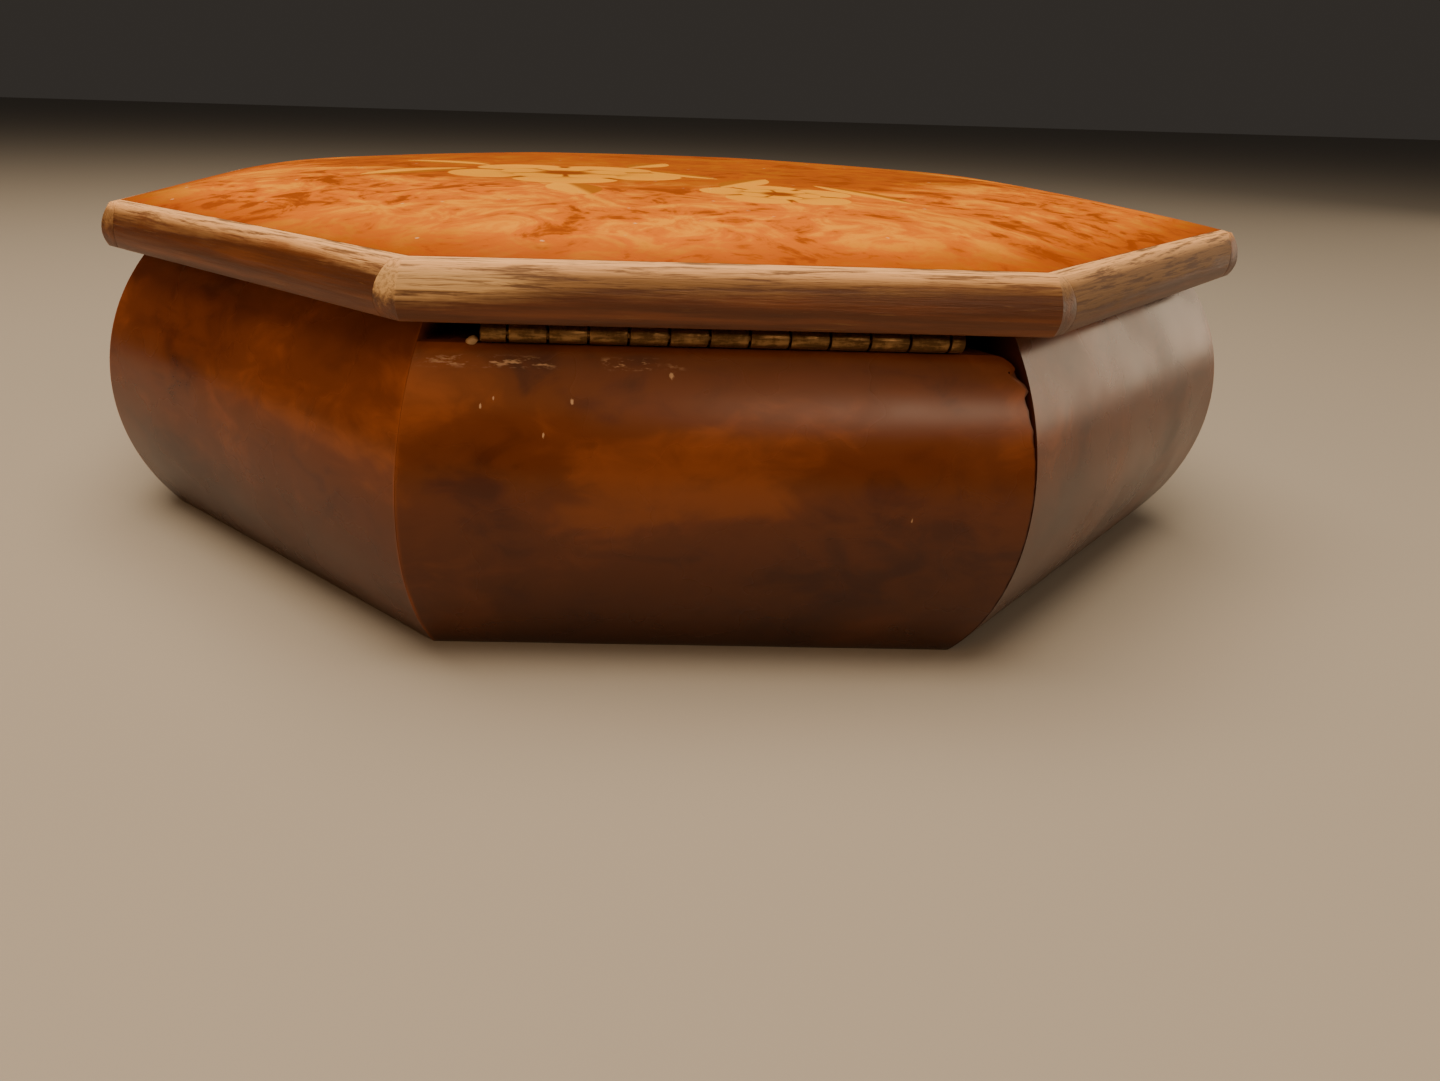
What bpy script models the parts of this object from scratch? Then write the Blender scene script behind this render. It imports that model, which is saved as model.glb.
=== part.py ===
"""Octagonal music box with swelling sides, a crowned lid in a rounded lipping and a brass strip hinge.

Metres, +Z up. The front faces -Y, the hinge is at the back, +Y, and the origin is the centre of the
underside. The eight sides of the octagon face 0, 45, 90 ... degrees, so every flat cut is made square
to one of those directions.
"""
from math import atan2, cos, pi, radians, sin, sqrt, tan

import bmesh
import bpy
from mathutils import Matrix, Vector

# Lid
LID_SIDE = 0.0800            # one side of the lid's octagon, along the widest line of the lipping
LIPPING_HEIGHT = 0.0070      # lipping, from the lid's underside to its top edge
LIPPING_WIDTH = 0.0033       # lipping, from its widest line to the glued joint with the board
NOSE_HEIGHT = 0.0024         # widest line above the lid's underside
TOP_INSET = 0.0017           # top edge, in from the widest line
FOOT_INSET = 0.00075         # bottom edge, in from the widest line
CROWN = 0.0055               # rise of the lid's top above the lipping's top edge
CROWN_FULLNESS = 4.6         # power of the crown's curve: flat in the middle, falling near the edge

# Box
SIDE_HEIGHT = 0.0466         # side panels
RIM_INSET = 0.0068           # rim of the sides, in from the lipping's widest line
BELLY = 0.0086               # how far the sides swell out beyond their rim at mid height
RIM_WIDTH = 0.0070           # thickness of a side panel at its rim
BOTTOM_THICKNESS = 0.0040    # bottom board, flush with the foot of the sides

# Hinge
HINGE_MARGIN = 0.0081        # from the back panel's mitre to each end of the hinge
KNUCKLE_LENGTH = 0.0050      # from one knuckle to the next
FIRST_KNUCKLE = 0.0020       # cut knuckle at the hinge's -X end
KNUCKLE_DIAMETER = 0.0026    # outside of the knuckles
KNUCKLE_OUTSTAND = 0.0005    # hinge axis, out from the edge of the planed rim, so the lid opens past upright
LEAF_THICKNESS = 0.0008      # brass leaf
LEAF_STEP = 0.0001           # leaf's outer face, in from the knuckles' roundness
LEAF_SETBACK = 0.0013        # leaf's inner edge, back from the inside of the back panel
PIN_DIAMETER = 0.0011        # hinge pin

# Clearances
GLUE_GAP = 0.0003            # across every glued joint, and under the hinge leaves
LID_GAP = 0.0003             # closed lid above the rim
KNUCKLE_GAP = 0.0003         # between neighbouring knuckles, and from a knuckle to the other leaf
PIN_GAP = 0.0003             # round the pin, in its bore

# Fineness of the round shapes
SIDES = 8
CROWN_SEGMENTS = 32
CROWN_RINGS = (1.0, 0.97, 0.93, 0.87, 0.79, 0.69, 0.56, 0.40, 0.20)
NOSE_STEPS = 6
FOOT_STEPS = 3
BELLY_STEPS = 16
BARREL_SEGMENTS = 20
PIN_SEGMENTS = 16

# Sizes that follow
TURN = 2 * pi / SIDES
LID_APOTHEM = LID_SIDE / 2 / tan(TURN / 2)
BOARD_APOTHEM = LID_APOTHEM - LIPPING_WIDTH - GLUE_GAP
CROWN_APOTHEM = LID_APOTHEM - TOP_INSET
RIM_APOTHEM = LID_APOTHEM - RIM_INSET
INNER_APOTHEM = RIM_APOTHEM - RIM_WIDTH
BELLY_RADIUS = (BELLY ** 2 + (SIDE_HEIGHT / 2) ** 2) / (2 * BELLY)
LID_Z = SIDE_HEIGHT + LID_GAP
KNUCKLE_RADIUS = KNUCKLE_DIAMETER / 2
BORE_RADIUS = PIN_DIAMETER / 2 + PIN_GAP
AXIS_Z = LID_Z - GLUE_GAP - KNUCKLE_RADIUS
PLANED_Z = AXIS_Z - KNUCKLE_RADIUS - GLUE_GAP

PLACES = ("right", "back_right", "back", "back_left", "left", "front_left", "front", "front_right")


def side_apothem(height):
    """Distance from the middle of the box to the outside of a side panel at this height."""
    from_belly = height - SIDE_HEIGHT / 2
    return RIM_APOTHEM + BELLY - BELLY_RADIUS + sqrt(BELLY_RADIUS ** 2 - from_belly ** 2)


AXIS_Y = side_apothem(PLANED_Z) + KNUCKLE_OUTSTAND
LEAF_INNER_Y = INNER_APOTHEM + LEAF_SETBACK
HINGE_LENGTH = 2 * (AXIS_Y * tan(TURN / 2) - HINGE_MARGIN)
AXIS = Vector((0.0, AXIS_Y, AXIS_Z))


def clear_scene():
    for item in list(bpy.data.objects):
        bpy.data.objects.remove(item, do_unlink=True)


def material(name, colour, roughness, metallic=0.0):
    made = bpy.data.materials.new(name)
    made.use_nodes = True
    shader = made.node_tree.nodes["Principled BSDF"]
    shader.inputs["Base Color"].default_value = (*colour, 1.0)
    shader.inputs["Roughness"].default_value = roughness
    shader.inputs["Metallic"].default_value = metallic
    made.diffuse_color = (*colour, 1.0)
    return made


def facing(index):
    """The direction that one side of the octagon faces."""
    return Vector((cos(index * TURN), sin(index * TURN), 0.0))


def octagon_radius(angle, apothem):
    """Distance from the middle to the octagon's outline in this direction."""
    return apothem / cos((angle + TURN / 2) % TURN - TURN / 2)


def crown_radius(angle, share):
    """An octagon at the crown's edge, rounding towards a circle near its middle."""
    octagon = octagon_radius(angle, CROWN_APOTHEM)
    roundness = 1.0 - share ** 2
    return share * (octagon + roundness * (CROWN_APOTHEM - octagon))


def set_ring(verts, radius_at, height):
    for vert in verts:
        angle = atan2(vert.co.y, vert.co.x)
        vert.co = Vector((cos(angle), sin(angle), 0.0)) * radius_at(angle)
        vert.co.z = height


def stack_rings(rings, segments):
    """A closed solid that climbs through rings, each a radius for a direction and a height."""
    shape = bmesh.new()
    made = bmesh.ops.create_circle(shape, cap_ends=True, segments=segments, radius=1.0)
    underside = made["verts"][0].link_faces[0]
    set_ring(underside.verts, *rings[0])
    cap = underside
    for ring in rings[1:]:
        made = bmesh.ops.extrude_face_region(shape, geom=[cap])
        covered = cap
        cap = next(item for item in made["geom"] if isinstance(item, bmesh.types.BMFace))
        set_ring(cap.verts, *ring)
        if covered is not underside:
            bmesh.ops.delete(shape, geom=[covered], context="FACES_ONLY")
    return shape, cap


def keep(shape, point, normal):
    """Cut the solid with a plane, keep the part that the normal points to and close the cut."""
    everything = shape.verts[:] + shape.edges[:] + shape.faces[:]
    bmesh.ops.bisect_plane(shape, geom=everything, dist=1e-7, plane_co=point, plane_no=normal,
                           clear_inner=True)
    open_edges = [edge for edge in shape.edges if edge.is_boundary]
    bmesh.ops.holes_fill(shape, edges=open_edges, sides=0)


def add_object(name, shape, finish, origin=None, parent=None):
    """Turn a shape in world places into an object, with its origin moved to a joint's axis if given."""
    bmesh.ops.recalc_face_normals(shape, faces=shape.faces)
    if origin is not None:
        bmesh.ops.translate(shape, verts=shape.verts, vec=-origin)
    mesh = bpy.data.meshes.new(name)
    shape.to_mesh(mesh)
    shape.free()
    made = bpy.data.objects.new(name, mesh)
    bpy.context.scene.collection.objects.link(made)
    made.data.materials.append(finish)
    if parent is not None:
        made.parent = parent
    elif origin is not None:
        made.location = origin
    return made


def lid_blank():
    """The whole lid as one block: flat below, a rounded edge all round and a crowned top."""
    rings = []
    for step in range(FOOT_STEPS):
        below = 1.0 - step / FOOT_STEPS
        apothem = LID_APOTHEM - FOOT_INSET * below ** 2
        rings.append((lambda angle, a=apothem: octagon_radius(angle, a), LID_Z + NOSE_HEIGHT * (1.0 - below)))
    for step in range(NOSE_STEPS + 1):
        above = step / NOSE_STEPS
        apothem = LID_APOTHEM - TOP_INSET * above ** 2
        height = LID_Z + NOSE_HEIGHT + (LIPPING_HEIGHT - NOSE_HEIGHT) * above
        rings.append((lambda angle, a=apothem: octagon_radius(angle, a), height))
    for share in CROWN_RINGS[1:]:
        height = LID_Z + LIPPING_HEIGHT + CROWN * (1.0 - share ** CROWN_FULLNESS)
        rings.append((lambda angle, s=share: crown_radius(angle, s), height))
    shape, cap = stack_rings(rings, CROWN_SEGMENTS)
    peak = bmesh.ops.poke(shape, faces=[cap])["verts"][0]
    peak.co = (0.0, 0.0, LID_Z + LIPPING_HEIGHT + CROWN)
    return shape


def lid_board(finish, parent):
    """The crowned board that carries the veneer, inside the lipping."""
    shape = lid_blank()
    for index in range(SIDES):
        keep(shape, facing(index) * BOARD_APOTHEM, -facing(index))
    return add_object("lid_board", shape, finish, AXIS, parent)


def lipping_strips(finish, parent):
    """Four strips run the full length of the main sides, and four shorter ones fit between them."""
    joint = LID_APOTHEM - LIPPING_WIDTH
    for index, place in enumerate(PLACES):
        shape = lid_blank()
        keep(shape, facing(index) * joint, facing(index))
        if index % 2:
            for neighbour in (index - 1, index + 1):
                keep(shape, facing(neighbour) * (joint - GLUE_GAP), -facing(neighbour))
        add_object("lipping_" + place, shape, finish, AXIS, parent)


def side_panels(finish):
    """Eight mitred panels, curved outside and flat inside; the back one is planed down for the hinge."""
    rings = []
    for step in range(BELLY_STEPS + 1):
        height = SIDE_HEIGHT * step / BELLY_STEPS
        apothem = side_apothem(height)
        rings.append((lambda angle, a=apothem: octagon_radius(angle, a), height))
    for index, place in enumerate(PLACES):
        shape, _ = stack_rings(rings, 2 * SIDES)
        keep(shape, facing(index) * INNER_APOTHEM, facing(index))
        for hand in (-1, 1):
            mitre = (index + hand / 2) * TURN
            inward = Vector((sin(mitre), -cos(mitre), 0.0)) * hand
            keep(shape, inward * GLUE_GAP / 2, inward)
        if place == "back":
            keep(shape, Vector((0.0, 0.0, PLANED_Z)), Vector((0.0, 0.0, -1.0)))
        add_object("side_" + place, shape, finish)


def bottom_board(finish):
    """The flat board that closes the box below, let in between the sides."""
    apothem = INNER_APOTHEM - GLUE_GAP
    outline = [(lambda angle: octagon_radius(angle, apothem), height) for height in (0.0, BOTTOM_THICKNESS)]
    shape, _ = stack_rings(outline, SIDES * 2)
    add_object("bottom_board", shape, finish)


def box_shape(low, high):
    """A plain block between two corners."""
    shape = bmesh.new()
    size = high - low
    place = Matrix.Translation((low + high) / 2) @ Matrix.Diagonal((*size, 1.0))
    bmesh.ops.create_cube(shape, size=1.0, matrix=place)
    return shape


def rod_shape(radius, segments, start, end):
    """A round rod along the hinge's axis, with a flat facet on top."""
    shape = bmesh.new()
    along = Matrix.Rotation(radians(90), 4, "Y") @ Matrix.Rotation(pi / segments, 4, "Z")
    place = Matrix.Translation(((start + end) / 2, AXIS_Y, AXIS_Z)) @ along
    bmesh.ops.create_cone(shape, cap_ends=True, segments=segments, radius1=radius, radius2=radius,
                          depth=end - start, matrix=place)
    return shape


def as_tool(name, shape, origin):
    """A hidden guide object that a Boolean uses."""
    made = add_object(name, shape, bpy.data.materials["aged brass"], origin)
    made.hide_render = True
    made.display_type = "WIRE"
    return made


def boolean(target, tool, operation):
    change = target.modifiers.new(operation.lower() + "_" + tool.name, "BOOLEAN")
    change.operation = operation
    change.solver = "EXACT"
    change.object = tool


def knuckle_edges():
    """Where one knuckle ends and the next begins: a cut one at each end, whole ones between."""
    start = -HINGE_LENGTH / 2
    edges = [start]
    place = start + FIRST_KNUCKLE
    while place < HINGE_LENGTH / 2 - 2 * KNUCKLE_GAP:
        edges.append(place)
        place += KNUCKLE_LENGTH
    edges.append(HINGE_LENGTH / 2)
    return edges


def hinge_leaf(name, side, first, finish, parent):
    """A leaf with every second knuckle; side is 1 for the lid's leaf above the axis, -1 for the box's."""
    half = HINGE_LENGTH / 2
    outer = AXIS_Z + side * (KNUCKLE_RADIUS - LEAF_STEP)
    inner = outer - side * LEAF_THICKNESS
    plate = box_shape(Vector((-half, LEAF_INNER_Y, min(outer, inner))), Vector((half, AXIS_Y, max(outer, inner))))
    leaf = add_object(name, plate, finish, AXIS, parent)
    barrel = as_tool(name + "_barrel", rod_shape(KNUCKLE_RADIUS, BARREL_SEGMENTS, -half, half), AXIS)
    boolean(leaf, barrel, "UNION")
    edges = knuckle_edges()
    slots = bmesh.new()
    reach = KNUCKLE_RADIUS + KNUCKLE_GAP
    for number in range(first, len(edges) - 1, 2):
        low = edges[number] - (KNUCKLE_GAP / 2 if number else KNUCKLE_GAP)
        high = edges[number + 1] + (KNUCKLE_GAP / 2 if number < len(edges) - 2 else KNUCKLE_GAP)
        middle = Vector(((low + high) / 2, AXIS_Y, AXIS_Z))
        size = Vector((high - low, 2 * reach, 2 * reach))
        bmesh.ops.create_cube(slots, size=1.0, matrix=Matrix.Translation(middle) @ Matrix.Diagonal((*size, 1.0)))
    boolean(leaf, as_tool(name + "_slots", slots, AXIS), "DIFFERENCE")
    bore = rod_shape(BORE_RADIUS, PIN_SEGMENTS, -half - KNUCKLE_GAP, half + KNUCKLE_GAP)
    boolean(leaf, as_tool(name + "_bore", bore, AXIS), "DIFFERENCE")
    return leaf


def main():
    clear_scene()
    stained = material("stained veneer", (0.140, 0.045, 0.016), 0.32)
    plain = material("plain lacquered wood", (0.270, 0.130, 0.055), 0.45)
    burl = material("lacquered burl veneer", (0.600, 0.200, 0.035), 0.22)
    bare = material("worn lipping", (0.290, 0.170, 0.075), 0.50)
    brass = material("aged brass", (0.330, 0.240, 0.120), 0.42, 1.0)

    side_panels(stained)
    bottom_board(plain)

    hinge_axis = bpy.data.objects.new("lid_hinge_axis", None)
    hinge_axis.location = AXIS
    bpy.context.scene.collection.objects.link(hinge_axis)
    lid_board(burl, hinge_axis)
    lipping_strips(bare, hinge_axis)

    hinge_leaf("hinge_leaf_box", -1, 1, brass, None)
    hinge_leaf("hinge_leaf_lid", 1, 0, brass, hinge_axis)
    half = HINGE_LENGTH / 2
    add_object("hinge_pin", rod_shape(PIN_DIAMETER / 2, PIN_SEGMENTS, -half, half), brass, AXIS)


main()
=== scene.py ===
from math import atan2, cos, hypot, pi, radians, sin, sqrt, tan

import bmesh
import bpy
from bpy.props import FloatProperty, FloatVectorProperty, IntProperty, PointerProperty
from mathutils import Matrix, Vector, noise


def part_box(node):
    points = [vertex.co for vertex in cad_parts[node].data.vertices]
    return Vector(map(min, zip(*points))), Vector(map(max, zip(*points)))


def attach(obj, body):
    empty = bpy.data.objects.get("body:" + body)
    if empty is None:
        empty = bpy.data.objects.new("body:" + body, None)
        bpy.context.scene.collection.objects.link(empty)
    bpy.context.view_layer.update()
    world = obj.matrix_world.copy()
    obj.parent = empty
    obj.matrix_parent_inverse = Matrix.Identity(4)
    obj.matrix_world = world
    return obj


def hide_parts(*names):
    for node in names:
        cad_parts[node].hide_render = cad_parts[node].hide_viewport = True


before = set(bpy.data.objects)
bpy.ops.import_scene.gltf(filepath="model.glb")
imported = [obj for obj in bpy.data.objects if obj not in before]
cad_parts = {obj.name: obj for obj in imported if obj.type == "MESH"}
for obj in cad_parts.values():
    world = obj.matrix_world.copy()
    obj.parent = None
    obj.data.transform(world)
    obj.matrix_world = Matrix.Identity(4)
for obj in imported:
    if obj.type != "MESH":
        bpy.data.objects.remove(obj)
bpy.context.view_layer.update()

bl_info = {
    "name": "Octagonal music box",
    "version": (1, 0, 0),
    "blender": (4, 5, 0),
    "location": "View3D > Sidebar > Music box",
    "description": "Dresses an octagonal inlaid music box in veneer, worn lipping and aged brass",
    "category": "Object",
}

SIDES = 8
TURN = 2 * pi / SIDES
BACK = 2
PLACES = ("right", "back_right", "back", "back_left", "left", "front_left", "front", "front_right")
MM = 0.001
OVERLAP = 1e-7
SMOOTH_ANGLE = radians(32)

LID_LOW, LID_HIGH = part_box("lid_board")
LIPPING_LOW, LIPPING_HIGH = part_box("lipping_right")
SIDE_LOW, SIDE_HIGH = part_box("side_right")
PLANED_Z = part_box("side_back")[1].z
PIN_LOW, PIN_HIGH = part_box("hinge_pin")
LEAF_LOW, LEAF_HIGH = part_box("hinge_leaf_lid")
AXIS = (PIN_LOW + PIN_HIGH) / 2

# The inlaid spray on the lid, in millimetres: each bloom's middle, radius, petals, turn and depth of scorch
BLOOMS = (
    ((19.0, 22.0), 21.5, 5, 0.30, 0.62),
    ((19.0, 22.0), 12.0, 5, 0.95, 0.55),
    ((-14.0, 51.0), 12.5, 5, 1.00, 0.60),
    ((-14.0, 51.0), 6.5, 5, 1.60, 0.55),
)
# Its leaves, in millimetres: each from its stalk to its tip, with its width
LEAVES = (
    ((37.0, 15.0), (55.0, 30.0), 9.0),
    ((33.0, 6.0), (51.0, -6.0), 8.0),
    ((3.0, 13.0), (-8.0, 28.0), 7.0),
    ((6.0, 4.0), (-3.0, -13.0), 7.5),
    ((-6.0, 44.0), (-17.0, 25.0), 7.0),
    ((-23.0, 35.0), (-34.0, 56.0), 5.5),
    ((20.0, 41.0), (16.0, 58.0), 9.0),
)
# Knocks in the lacquer of the back panel, in millimetres: along the panel, up it and radius
KNOCKS = ((6.2, 40.6, 0.50), (22.1, 33.4, 0.30), (18.6, 37.4, 0.35), (30.0, 36.6, 0.30),
          (28.4, 37.6, 0.25), (-25.4, 23.4, 0.25))
# The knocks are taller than wide, so their distances are measured in space stretched by this much
KNOCK_STRETCH = (1.5, 1.0, 0.55)
# Scuffs under the hinge: their middle and half-length along the panel, and their line below the rim
SCUFFS_X = 21 * MM
SCUFFS_REACH = 19 * MM
SCUFFS_BELOW_RIM = 2.0 * MM
# The sides are painted darker towards the foot up to this height: mostly painted shade, partly a darker stain
FOOT_SHADE = 34 * MM
# Only the back panel has scuffs, and little else of the sides lies beyond this plane
BACK_PLANE = 80 * MM

# Wear of the panels: width of the rubbed mitres, width of the chipped corner, where the crack starts,
# over what height it opens, and how far its edge is drawn back across the panel
RUB_WIDTH = 0.45 * MM
CHIP_WIDTH = 3.4 * MM
CRACK_START = 29 * MM
CRACK_RISE = 13 * MM
CRACK_SPREAD = 5 * MM
HAIRLINE = 0.10 * MM

# How much further the finish is rubbed off one lipping strip than another, in millimetres down the strip
RUBBED = {"back": 0.0, "back_right": -2.4, "back_left": 3.0, "right": -0.8,
          "left": -0.4, "front_left": -1.4, "front": -0.2, "front_right": -1.0}
# Height of the driest place on the lipping above the lid's underside, at the back left corner
DRIEST_HEIGHT = 4.5 * MM

# How sharply the crown falls away towards the lipping
CROWN_POWER = 4.6
# Rings of the lid: below its widest line, from there to the lipping's top edge, and over the crown
FOOT_STEPS = 6
NOSE_STEPS = 12
CROWN_STEPS = 30

# Play between the hinge's pin and the bore of its knuckles, and how round both are
PIN_CLEARANCE = 0.05 * MM
KNUCKLE_SEGMENTS = 40
BORE_SEGMENTS = 24


def linear(code):
    """The linear colour for an sRGB hex value such as #C08040."""
    channels = [int(code[place:place + 2], 16) / 255 for place in (1, 3, 5)]
    return (*(c / 12.92 if c <= 0.04045 else ((c + 0.055) / 1.055) ** 2.4 for c in channels), 1.0)


def length(name, description, default):
    """A setting in metres."""
    return FloatProperty(name=name, description=description, default=default, min=0.0, precision=5,
                         subtype="DISTANCE", unit="LENGTH")


def colour(name, description, code):
    """A colour setting, given as an sRGB hex value."""
    return FloatVectorProperty(name=name, description=description, size=4, min=0.0, max=1.0,
                               subtype="COLOR", default=linear(code))


def power(name, description, default):
    """A lamp's power in watts."""
    return FloatProperty(name=name, description=description, default=default, min=0.0, subtype="POWER",
                         unit="POWER")


class MusicBoxSizes(bpy.types.PropertyGroup):
    """Sizes of the pieces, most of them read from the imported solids."""
    lid_apothem: length("Lid", "Middle of the lid to the widest line of its lipping", LIPPING_HIGH.x)
    lid_z: length("Lid underside", "Height of the lid's underside", LID_LOW.z)
    lid_peak: length("Lid top", "Height of the lid's top", LID_HIGH.z)
    lipping_joint: length("Lipping joint", "Middle of the lid to the lipping's glued joint", LIPPING_LOW.x)
    lipping_height: length("Lipping height", "Lid's underside to the lipping's top edge", 7.0 * MM)
    nose_height: length("Nose height", "Lid's underside to the lipping's widest line", 2.4 * MM)
    top_inset: length("Top inset", "Lipping's top edge, in from its widest line", 1.7 * MM)
    foot_inset: length("Foot inset", "Lipping's bottom edge, in from its widest line", 0.75 * MM)
    side_height: length("Side height", "Height of the side panels", SIDE_HIGH.z)
    belly_apothem: length("Belly", "Middle of the box to the outside of the swelling sides", SIDE_HIGH.x)
    belly: length("Swell", "How far the sides swell out beyond their rim", 8.6 * MM)
    inner_apothem: length("Inside", "Middle of the box to the inside of the sides", SIDE_LOW.x)
    planed_z: length("Planed rim", "Height of the back panel, planed down for the hinge", PLANED_Z)
    seam: length("Seam", "Width of a closed glued joint", 0.06 * MM)
    arris: length("Arris", "Rounding along the edges of the wooden pieces", 0.15 * MM)
    dent: length("Dents", "How far the lipping is dented and rubbed out of true", 0.14 * MM)
    crack: length("Crack", "Widest part of the crack beside the back panel", 0.95 * MM)
    chip: length("Chipped corner", "How far the back panel's corner is chipped down", 1.7 * MM)
    knuckle_radius: length("Knuckle radius", "Outside of the hinge's knuckles", LEAF_HIGH.y - AXIS.y)
    knuckle_length: length("Knuckle length", "From one knuckle to the next", 5.0 * MM)
    first_knuckle: length("First knuckle", "Cut knuckle at one end of the hinge", 2.0 * MM)
    knuckle_gap: length("Knuckle gap", "Between neighbouring knuckles", 0.3 * MM)
    knuckle_arris: length("Knuckle arris", "Rounding at the knuckles' ends", 0.14 * MM)
    leaf_thickness: length("Leaf thickness", "Thickness of the hinge's leaves", 0.8 * MM)
    leaf_step: length("Leaf step", "Leaf's outer face, in from the knuckles", 0.1 * MM)
    glue_bead: length("Glue bead", "Radius of the dried glue beside the hinge", 0.75 * MM)
    seed: IntProperty(name="Seed", description="Start of the noise that wears the edges", default=7)


class MusicBoxColours(bpy.types.PropertyGroup):
    """Colours of the finishes."""
    veneer_dark: colour("Veneer dark", "Dark clouds in the stained side veneer", "#4E2209")
    veneer_mid: colour("Veneer", "Stained side veneer", "#6A340E")
    veneer_light: colour("Veneer light", "Lighter figure and rubbed mitres", "#8A481A")
    # Painted shade: mostly the shade low on the sides, partly a darker stain
    foot_stain_and_shade: colour("Veneer foot", "Darker stain towards the foot of the sides", "#260E04")
    # Dirt and painted shade: the crack and chips are painted dark, the mitre faces with painted shade
    crack_dirt_and_shade: colour("Chipped veneer", "Dirt in the crack and chips, and on the mitres", "#3A1808")
    knock: colour("Knocks", "Pale wood in knocks and scuffs", "#CDA882")
    burl_bright: colour("Burl bright", "Bright figure of the burl", "#FFAA08")
    burl_mid: colour("Burl", "Burl veneer of the lid", "#E67C06")
    burl_dark: colour("Burl dark", "Eyes, streaks and the duller middle of the burl", "#A44E06")
    border: colour("Border", "Red-brown shading round the lid's edge", "#9A440E")
    inlay: colour("Inlay", "Pale wood of the inlaid spray", "#FFB61C")
    inlay_shade: colour("Inlay shade", "Scorched shading and joints in the inlaid spray", "#9A4C08")
    dust: colour("Dust", "Specks of dust on the lid", "#F3D9B0")
    bare: colour("Bare lipping", "Lipping where its finish is rubbed off", "#856034")
    bare_pale: colour("Pale lipping", "Driest, palest part of the lipping", "#D2AA72")
    # Partly rubbed wear, partly painted highlight along the lipping's rounded top edge
    edge_wear_and_highlight: colour("Lipping edge", "Rubbed edge where the lipping meets the lid's veneer", "#FFC88A")
    stain: colour("Lipping stain", "Stain left on the lower half of the lipping", "#4C260E")
    # Partly stain worn thin, partly painted highlight along the lit top of the stained lipping
    thin_stain_and_highlight: colour("Thin stain", "Stain worn thin along the lipping's top edge", "#965420")
    board: colour("Plain wood", "Inside and underside", "#9A6A3E")
    board_dark: colour("Plain wood grain", "Grain of the inside and underside", "#6E4522")
    brass: colour("Brass", "Dulled brass", "#8E6C46")
    brass_dirt: colour("Brass dirt", "Grime on the brass", "#3A2614")
    glue: colour("Glue", "Dried glue beside the hinge", "#B08E66")


class MusicBoxStage(bpy.types.PropertyGroup):
    """Camera, lights and floor."""
    focal_length: FloatProperty(name="Lens", description="Focal length of the camera", default=25.82,
                                subtype="DISTANCE_CAMERA", unit="CAMERA")
    shift_x: FloatProperty(name="Shift", description="Sideways shift of the lens", default=0.109)
    camera_place: FloatVectorProperty(name="Camera", description="Place of the camera", size=3,
                                      default=(0.0225, 0.2202, 0.0726), subtype="TRANSLATION", unit="LENGTH")
    pitch: FloatProperty(name="Pitch", description="How far the camera looks down",
                         default=radians(23.42), subtype="ANGLE", unit="ROTATION")
    yaw: FloatProperty(name="Yaw", description="How far the camera turns from the back's square view",
                       default=radians(1.51), subtype="ANGLE", unit="ROTATION")
    roll: FloatProperty(name="Roll", description="How far the camera leans",
                        default=radians(1.74), subtype="ANGLE", unit="ROTATION")
    floor: colour("Floor", "Plain pale floor", "#ABA7A0")
    surround: colour("Surround", "Dim warm grey of the studio round the floor", "#36322E")
    lamp: colour("Lamps", "Warm white of the soft boxes", "#FFE4C2")
    glow: colour("Glow", "Warmer white of the room in front of the hinge", "#FFC890")
    ceiling: power("Ceiling", "Power of the wide soft box overhead", 9.0)
    window: power("Window", "Power of the soft box that gives the shoulder its highlight", 0.50)
    room: power("Room", "Power of the soft box that one near panel mirrors above its highlight", 1.0)
    wall: power("Wall", "Power of the low soft box that another near panel mirrors", 1.10)
    side: power("Side", "Power of the soft box that lights the third near panel", 2.2)


def facing(index):
    """The direction that one side of the octagon faces."""
    return Vector((cos(index * TURN), sin(index * TURN), 0.0))


def octagon_radius(angle, apothem):
    """Distance from the middle to the octagon's outline in this direction."""
    return apothem / cos((angle + TURN / 2) % TURN - TURN / 2)


def crown_radius(angle, share, apothem):
    """An octagon at the crown's edge, rounding towards a circle near its middle."""
    octagon = octagon_radius(angle, apothem)
    return share * (octagon + (1.0 - share ** 2) * (apothem - octagon))


def side_apothem(sizes, height):
    """Distance from the middle of the box to the outside of a side panel at this height."""
    half = sizes.side_height / 2
    radius = (sizes.belly ** 2 + half ** 2) / (2 * sizes.belly)
    return sizes.belly_apothem - radius + sqrt(radius ** 2 - (height - half) ** 2)


def set_ring(verts, radius_at, height):
    """Move a ring of vertices to the radius for each one's direction, all at one height."""
    for vert in verts:
        angle = atan2(vert.co.y, vert.co.x)
        vert.co = Vector((cos(angle), sin(angle), 0.0)) * radius_at(angle)
        vert.co.z = height


def stack_rings(rings, segments):
    """A closed shape that climbs through rings, each a radius for a direction and a height."""
    shape = bmesh.new()
    made = bmesh.ops.create_circle(shape, cap_ends=True, segments=segments, radius=1.0)
    underside = made["verts"][0].link_faces[0]
    set_ring(underside.verts, *rings[0])
    cap = underside
    for ring in rings[1:]:
        made = bmesh.ops.extrude_face_region(shape, geom=[cap])
        covered = cap
        cap = next(item for item in made["geom"] if isinstance(item, bmesh.types.BMFace))
        set_ring(cap.verts, *ring)
        if covered is not underside:
            bmesh.ops.delete(shape, geom=[covered], context="FACES_ONLY")
    return shape, cap


def keep(shape, point, normal):
    """Cut the shape with a plane, keep the part that the normal points to and close the cut."""
    everything = shape.verts[:] + shape.edges[:] + shape.faces[:]
    bmesh.ops.bisect_plane(shape, geom=everything, dist=OVERLAP, plane_co=point, plane_no=normal,
                           clear_inner=True)
    open_edges = [edge for edge in shape.edges if edge.is_boundary]
    bmesh.ops.holes_fill(shape, edges=open_edges, sides=0)


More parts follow.
